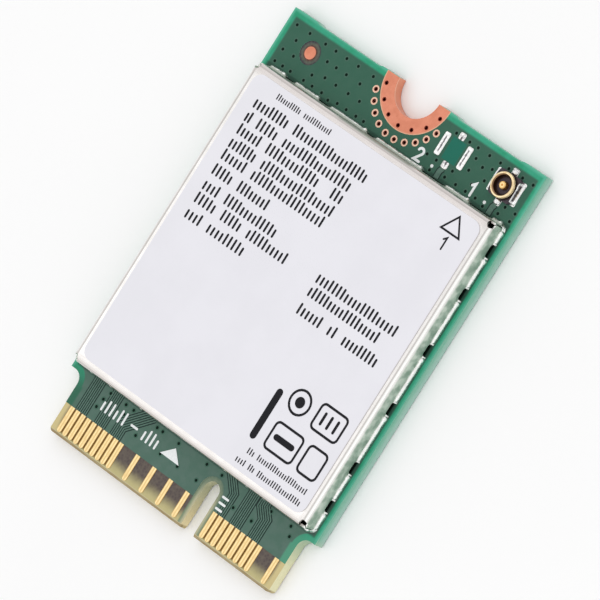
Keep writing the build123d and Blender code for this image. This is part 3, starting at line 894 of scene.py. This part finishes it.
def bundle(path, count, level, way):
    # the bed of the bundle, and its tracks at one pitch from each other on the same bends
    pitch = marks["trackPitch"]
    side = sideways(path, False)
    wide = marks["trackWidth"] if count > 1 else marks["lineWidth"]
    bed = band(path, (count - 1) * pitch + wide + 0.15, level - 0.002 * way, 0.005 * way, capSteps=0)
    tracks = []
    for k in range(count):
        offset = (k - (count - 1) / 2) * pitch
        line = np.asarray(path, float) + side * offset
        tracks.append(band(line, wide, level, 0.014 * way, capSteps=0))
    return bed, tracks


def makeTracks():
    beds, tracks = [], []
    for group, level, way in [(group, top, 1) for group in trackGroups] + [(underGroup, 0.0, -1)]:
        bed, lines = bundle(*group, level, way)
        beds.append(bed)
        tracks += lines
    beds += [band(path, marks["underGap"], 0.002, -0.008, capSteps=0) for path in underGaps]
    makePiece("trackBeds", beds, gapCoat)
    makePiece("tracks", tracks, trackCoat)


boardInk = {
    "line": 0.15,
    "triangle": [(-2.02, -12.05), (-0.34, -12.05), (-1.18, -11.28)],
    "strokes": (-7.4, -7.02, -6.64, -6.26, -5.88, -5.5, -3.7, -3.32, -2.94, -2.56),
    "foot": -12.08,
    "tall": 0.72,
    "short": 0.48,
    "dashes": [  # start, end and height
        (-4.85, -4.35, -11.75), (3.6, 4.05, -11.95), (3.6, 4.05, -12.35), (3.6, 4.05, -12.75),
    ],
    "numbers": [(2, 2.44, 11.44), (1, 7.02, 11.5)],
    "numberSize": (0.8, 0.17),  # height and line
    "dots": [(3.65, 11.68), (8.22, 11.66)],
    "dotRadius": 0.11,
}


def makeBoardInk():
    # a triangle, plain strokes and dashes, and a number and a dot for each antenna place
    ink, line, foot = marks["ink"], boardInk["line"], boardInk["foot"]
    parts = [plate(boardInk["triangle"], top, ink, 0.006)]
    for k, x in enumerate(boardInk["strokes"]):
        tall = boardInk["tall"] if k % 3 else boardInk["short"]
        parts.append(band([(x, foot), (x, foot + tall)], line, top, ink))
    for x0, x1, y in boardInk["dashes"]:
        parts.append(band([(x0, y), (x1, y)], line, top, ink))
    for digit, x, y in boardInk["numbers"]:
        parts += numeral(digit, x, y, *boardInk["numberSize"], top, ink)
    radius = boardInk["dotRadius"]
    profile = [(radius + 0.005, top - 0.002), (radius, top + ink), (radius - 0.05, top + ink + 0.002)]
    for x, y in boardInk["dots"]:
        parts.append(turned(x, y, profile))
    makePiece("boardInk", parts, whiteInk)


underInk = {
    "line": 0.13,
    "brackets": [  # corner, and the length of its legs towards the middle of the board
        (10.77, 14.63, 1.28), (-10.77, 14.63, 1.28), (10.77, -9.7, 1.3), (-10.77, -9.7, 1.3),
        (8.78, 10.28, 1.33),
    ],
    "ring": (6.0, 7.54, 1.09),
    "dashes": [[(6.85, 5.94), (7.2, 5.94)], [(8.8, 3.4), (8.8, 2.7)]],
    "dot": (-4.09, -10.0, 0.21),
    "rows": [(-8.42, -4.17, -9.07, 0.85), (-7.1, 8.9, -10.7, 1.2)],  # start, end, foot, height
    "pitch": 0.5,  # of the strokes, and their thickness, as shares of their height
    "stroke": 0.17,
}


def makeUnderInk():
    # corner brackets, a ring, two dashes, a dot and two rows of plain strokes
    ink, line = -marks["ink"], underInk["line"]
    parts = []
    for x, y, leg in underInk["brackets"]:
        wayX, wayY = -np.sign(x), -np.sign(y)
        parts.append(band([(x + leg * wayX, y), (x, y), (x, y + leg * wayY)], line, 0.0, ink, capSteps=0))
    x, y, radius = underInk["ring"]
    parts.append(band(arc(x, y, radius, 0, 350, 36), line, 0.0, ink, closed=True))
    for dash in underInk["dashes"]:
        parts.append(band(dash, line, 0.0, ink))
    x, y, radius = underInk["dot"]
    parts.append(turned(x, y, [(radius + 0.01, 0.002), (radius, ink), (0.1, ink)]))
    for x0, x1, foot, tall in underInk["rows"]:
        count = round((x1 - x0) / (underInk["pitch"] * tall))
        thick = underInk["stroke"] * tall
        for k in range(count):
            x = x0 + (k + 0.5) * (x1 - x0) / count
            high = (tall - thick) * (1 if k % 3 else 0.7)
            parts.append(band([(x, foot + thick / 2), (x, foot + thick / 2 + high)], thick, 0.0, ink))
    makePiece("underInk", parts, whiteInk)


makeVias()
makeTracks()
makeBoardInk()
makeUnderInk()

# label print

printing = {
    "ink": 0.006,
    "big": {"tall": 0.76, "pitch": 0.35, "stroke": 0.16},
    "small": {"tall": 0.42, "pitch": 0.2, "stroke": 0.09},
    "heights": (1.0, 0.72, 0.72, 1.0, 0.72, 1.0, 1.0, 0.72),  # of the strokes, as shares of the tall ones
    "line": 0.13,
    "thickLine": 0.16,
    "triangle": [(7.42, 9.08), (8.94, 9.08), (8.18, 10.22)],
    "number": (1, 8.2, 7.98, 0.78, 0.12),  # digit, middle, foot, height, line
    "bars": [  # x and y of the start, x and y of the end, width
        (3.95, -4.65, 3.95, -7.65, 0.5),
        (7.6, -4.75, 7.6, -4.05, 0.2),
        (8.15, -4.75, 8.15, -4.05, 0.2),
        (8.7, -4.75, 8.7, -4.05, 0.2),
        (5.45, -6.95, 6.8, -6.95, 0.4),
    ],
    "ring": (5.58, -4.42, 0.78, 0.36),  # middle, radius, radius of the dot in it
    "frames": [(7.05, 9.25, -5.25, -3.55), (4.95, 7.30, -7.85, -6.05), (7.85, 9.40, -7.85, -6.05)],
}
printRows = {  # height of the row: start and end of each word bar
    8.93: [(-8.95, -5.90), (-5.40, 1.09)],
    7.94: [(-8.95, -8.40), (-7.95, -6.10), (-5.60, 0.44)],
    7.05: [(-8.95, -6.90), (-6.40, -1.73), (-0.64, 0.44)],
    6.09: [(-8.95, -6.60), (-6.10, 0.33)],
    5.23: [(-8.95, -6.80), (-6.30, 0.14)],
    4.16: [(-8.95, -7.20), (-6.70, -3.94)],
    3.06: [(-8.95, -7.50), (-7.00, -2.38)],
    2.13: [(-8.95, -7.10), (-6.60, -4.80), (-4.30, -0.71)],
    1.02: [(-8.95, -7.50), (-7.00, -3.68)],
    2.39: [(1.76, 8.79)],
    1.45: [(1.76, 7.92)],
    0.20: [(1.76, 3.90), (4.40, 5.20), (5.70, 8.75)],
}
smallRows = {
    9.97: [(-7.73, -5.60), (-5.30, -2.92)],
    -8.58: [(4.17, 4.80), (5.05, 9.40)],
    -9.37: [(3.74, 4.60), (4.85, 5.40), (5.65, 9.44)],
}


def strokes(x0, x1, y, size, ink):
    # a word as a row of plain upright strokes, taller and shorter, all standing on one line
    count = max(2, round((x1 - x0) / size["pitch"]))
    heights = printing["heights"]
    foot = y - size["tall"] / 2 + size["stroke"] / 2
    made = []
    for k in range(count):
        x = x0 + (k + 0.5) * (x1 - x0) / count
        tall = (size["tall"] - size["stroke"]) * heights[(k * 3 + count) % len(heights)]
        made.append(band([(x, foot), (x, foot + tall)], size["stroke"], labelTop, ink, capSteps=2))
    return made


def makePrint():
    ink, line = printing["ink"], printing["line"]
    parts = []
    for rows, size in ((printRows, printing["big"]), (smallRows, printing["small"])):
        for y, words in rows.items():
            for x0, x1 in words:
                parts += strokes(x0, x1, y, size, ink)
    parts.append(band(printing["triangle"], line, labelTop, ink, closed=True))
    parts += numeral(*printing["number"], labelTop, ink)
    # plain bars, a ring with a dot and rounded frames
    for x0, y0, x1, y1, width in printing["bars"]:
        parts.append(band([(x0, y0), (x1, y1)], width, labelTop, ink))
    x, y, radius, dot = printing["ring"]
    thick = printing["thickLine"]
    parts.append(band(arc(x, y, radius, 0, 345, 24), thick, labelTop, ink, closed=True))
    profile = [(dot, labelTop - 0.002), (dot, labelTop + ink), (0.2, labelTop + ink)]
    parts.append(turned(x, y, profile, 24))
    for edges in printing["frames"]:
        parts.append(band(roundedFrame(*edges, 0.3), thick, labelTop, ink, closed=True))
    makePiece("labelPrint", parts, blackInk)


makePrint()

# solder

solder = {
    "reach": 0.15,  # how far the foot beads stand out from the side walls of the can
    "rearReach": 0.2,
    "tall": 0.24,
    "wave": 0.05,
    "blob": 0.35,  # how much wider the drop at the far end of a bead is
    "endGap": 0.05,
    "corner": 0.22,
    "ridge": (0.85, 0.68, 0.14, 0.27),  # distance from the axis of the socket, half length, width, height
    "mounds": [(1.03, 0, 0.34, 1.44, 0.11, 6), (0, 1.03, 0.44, 0.44, 0.12, 3)],
    "rearGaps": [(-8.40, 0.7), (-5.33, 0.85), (-1.19, 0.65), (4.28, 1.85), (8.35, 1.85)],
    "sideGaps": [(9.44, 0.9), (6.40, 0.82), (2.44, 0.85), (-1.70, 0.85), (-5.88, 0.85), (-8.60, 0.82)],
    "frontGaps": [(-8.59, 1.0), (-6.75, 1.2), (-3.85, 1.4), (3.59, 1.1), (5.45, 0.95), (6.96, 0.9)],
}


def makeLandSolder():
    # mounds beside the feet of the socket, on its lands, and a ridge up the outer side of its base
    x, y = socket["middle"]
    away, half, width, height = solder["ridge"]
    parts = [bead((x + away, y - half), (x + away, y + half), width, height, 0)]
    for side in (-1, 1):
        for awayX, awayY, width, length, height, sharpness in solder["mounds"]:
            parts.append(mound(x + side * awayX, y + side * awayY, width, length, top, height, sharpness))
    makePiece("landSolder", parts, lands)


def feet(gaps, low, high):
    # the stretches of wall between the gaps in the skirt
    edges = [low + solder["corner"]]
    for middle, wide in sorted(gaps):
        edges += [middle - wide / 2 - solder["endGap"], middle + wide / 2 + solder["endGap"]]
    edges.append(high - solder["corner"])
    return list(zip(edges[::2], edges[1::2]))


def makeFootSolder():
    # a bead along the foot of each stretch of wall, half of it hidden in the wall and the CAD bead
    wide, tall, wave = 2 * solder["reach"], solder["tall"], solder["wave"]
    halfX, halfY = can["half"]
    parts = []
    for side in (-1, 1):
        x = side * halfX
        for low, high in feet(solder["sideGaps"], can["middle"] - halfY, can["middle"] + halfY):
            parts.append(bead((x, low), (x, high), wide, tall, wave))
    for side, gaps, across in ((1, "rearGaps", 2 * solder["rearReach"]), (-1, "frontGaps", wide)):
        y = can["middle"] + side * halfY
        for low, high in feet(solder[gaps], -halfX, halfX):
            parts.append(bead((low, y), (high, y), across, tall, wave))
    makePiece("footSolder", parts, finishes["solder"])


makeLandSolder()
makeFootSolder()

# rims of the small plated holes, and the rounded lip and pin of the socket

rims = {
    "outer": 0.15,
    "inner": 0.094,
    "landCircle": 2.45,
    "landHoles": 7,
    "landStep": 24.4,
    "collarCircle": 3.1,
    "collarBulge": 0.2,
    "collars": 10,
    "collarStep": 13.7,
    "collarTurn": -1.8,
}


def holePlaces():
    # the small holes in the land of the notch, and those in the arc of collars round it
    turns = [(k - (rims["landHoles"] - 1) / 2) * rims["landStep"] for k in range(rims["landHoles"])]
    places = [(rims["landCircle"], turn) for turn in turns]
    for k in range(rims["collars"]):
        turn = (k - (rims["collars"] - 1) / 2) * rims["collarStep"]
        radius = rims["collarCircle"] + rims["collarBulge"] * math.cos(math.radians(1.5 * turn))
        places.append((radius, turn + rims["collarTurn"]))
    rear = board["rearEdge"]
    return [(r * math.sin(math.radians(a)), rear - r * math.cos(math.radians(a))) for r, a in places]


def makeHoleRims():
    outer, inner = rims["outer"], rims["inner"]
    profile = [(outer, -0.003), (outer - 0.012, 0.004), (inner + 0.006, 0.002), (inner, -0.06)]
    parts = []
    for x, y in holePlaces():
        for level, way in ((top, 1), (0.0, -1)):
            parts.append(hoop(x, y, [(r, level + way * h) for r, h in profile], 14))
    finish = Finish("holeShade", Specular_IOR_Level=0.1)
    fine = finish.noise(12)
    # dark and red: the plating deep in a hole takes little light
    tone = fine.mix((106, 12, 8), (78, 6, 4))
    makePiece("holeRims", parts, finish.skin(tone, 0.45 + 0.1 * fine, fine, 0.003))


gilt = {
    "lip": [  # radius and height round the rolled lip of the ring, drawn in below the bead
        (0.68, 1.385), (0.70, 1.404), (0.725, 1.412), (0.755, 1.413), (0.787, 1.405), (0.812, 1.385),
        (0.826, 1.35), (0.83, 1.30), (0.828, 1.23), (0.817, 1.18), (0.79, 1.14), (0.76, 1.16),
        (0.70, 1.30),
    ],
    "pin": [  # up the sleeve of the contact post, over its shoulder and into its dished top
        (0.25, 1.03), (0.25, 1.27), (0.238, 1.32), (0.205, 1.352), (0.15, 1.362), (0.09, 1.352),
        (0.03, 1.345),
    ],
}


def makeSocketGilt():
    middle = socket["middle"]
    makePiece("socketLip", [hoop(*middle, gilt["lip"], 56)], special["socket_shell"])
    makePiece("socketPin", [turned(*middle, gilt["pin"], 32)], pin)


makeHoleRims()
makeSocketGilt()
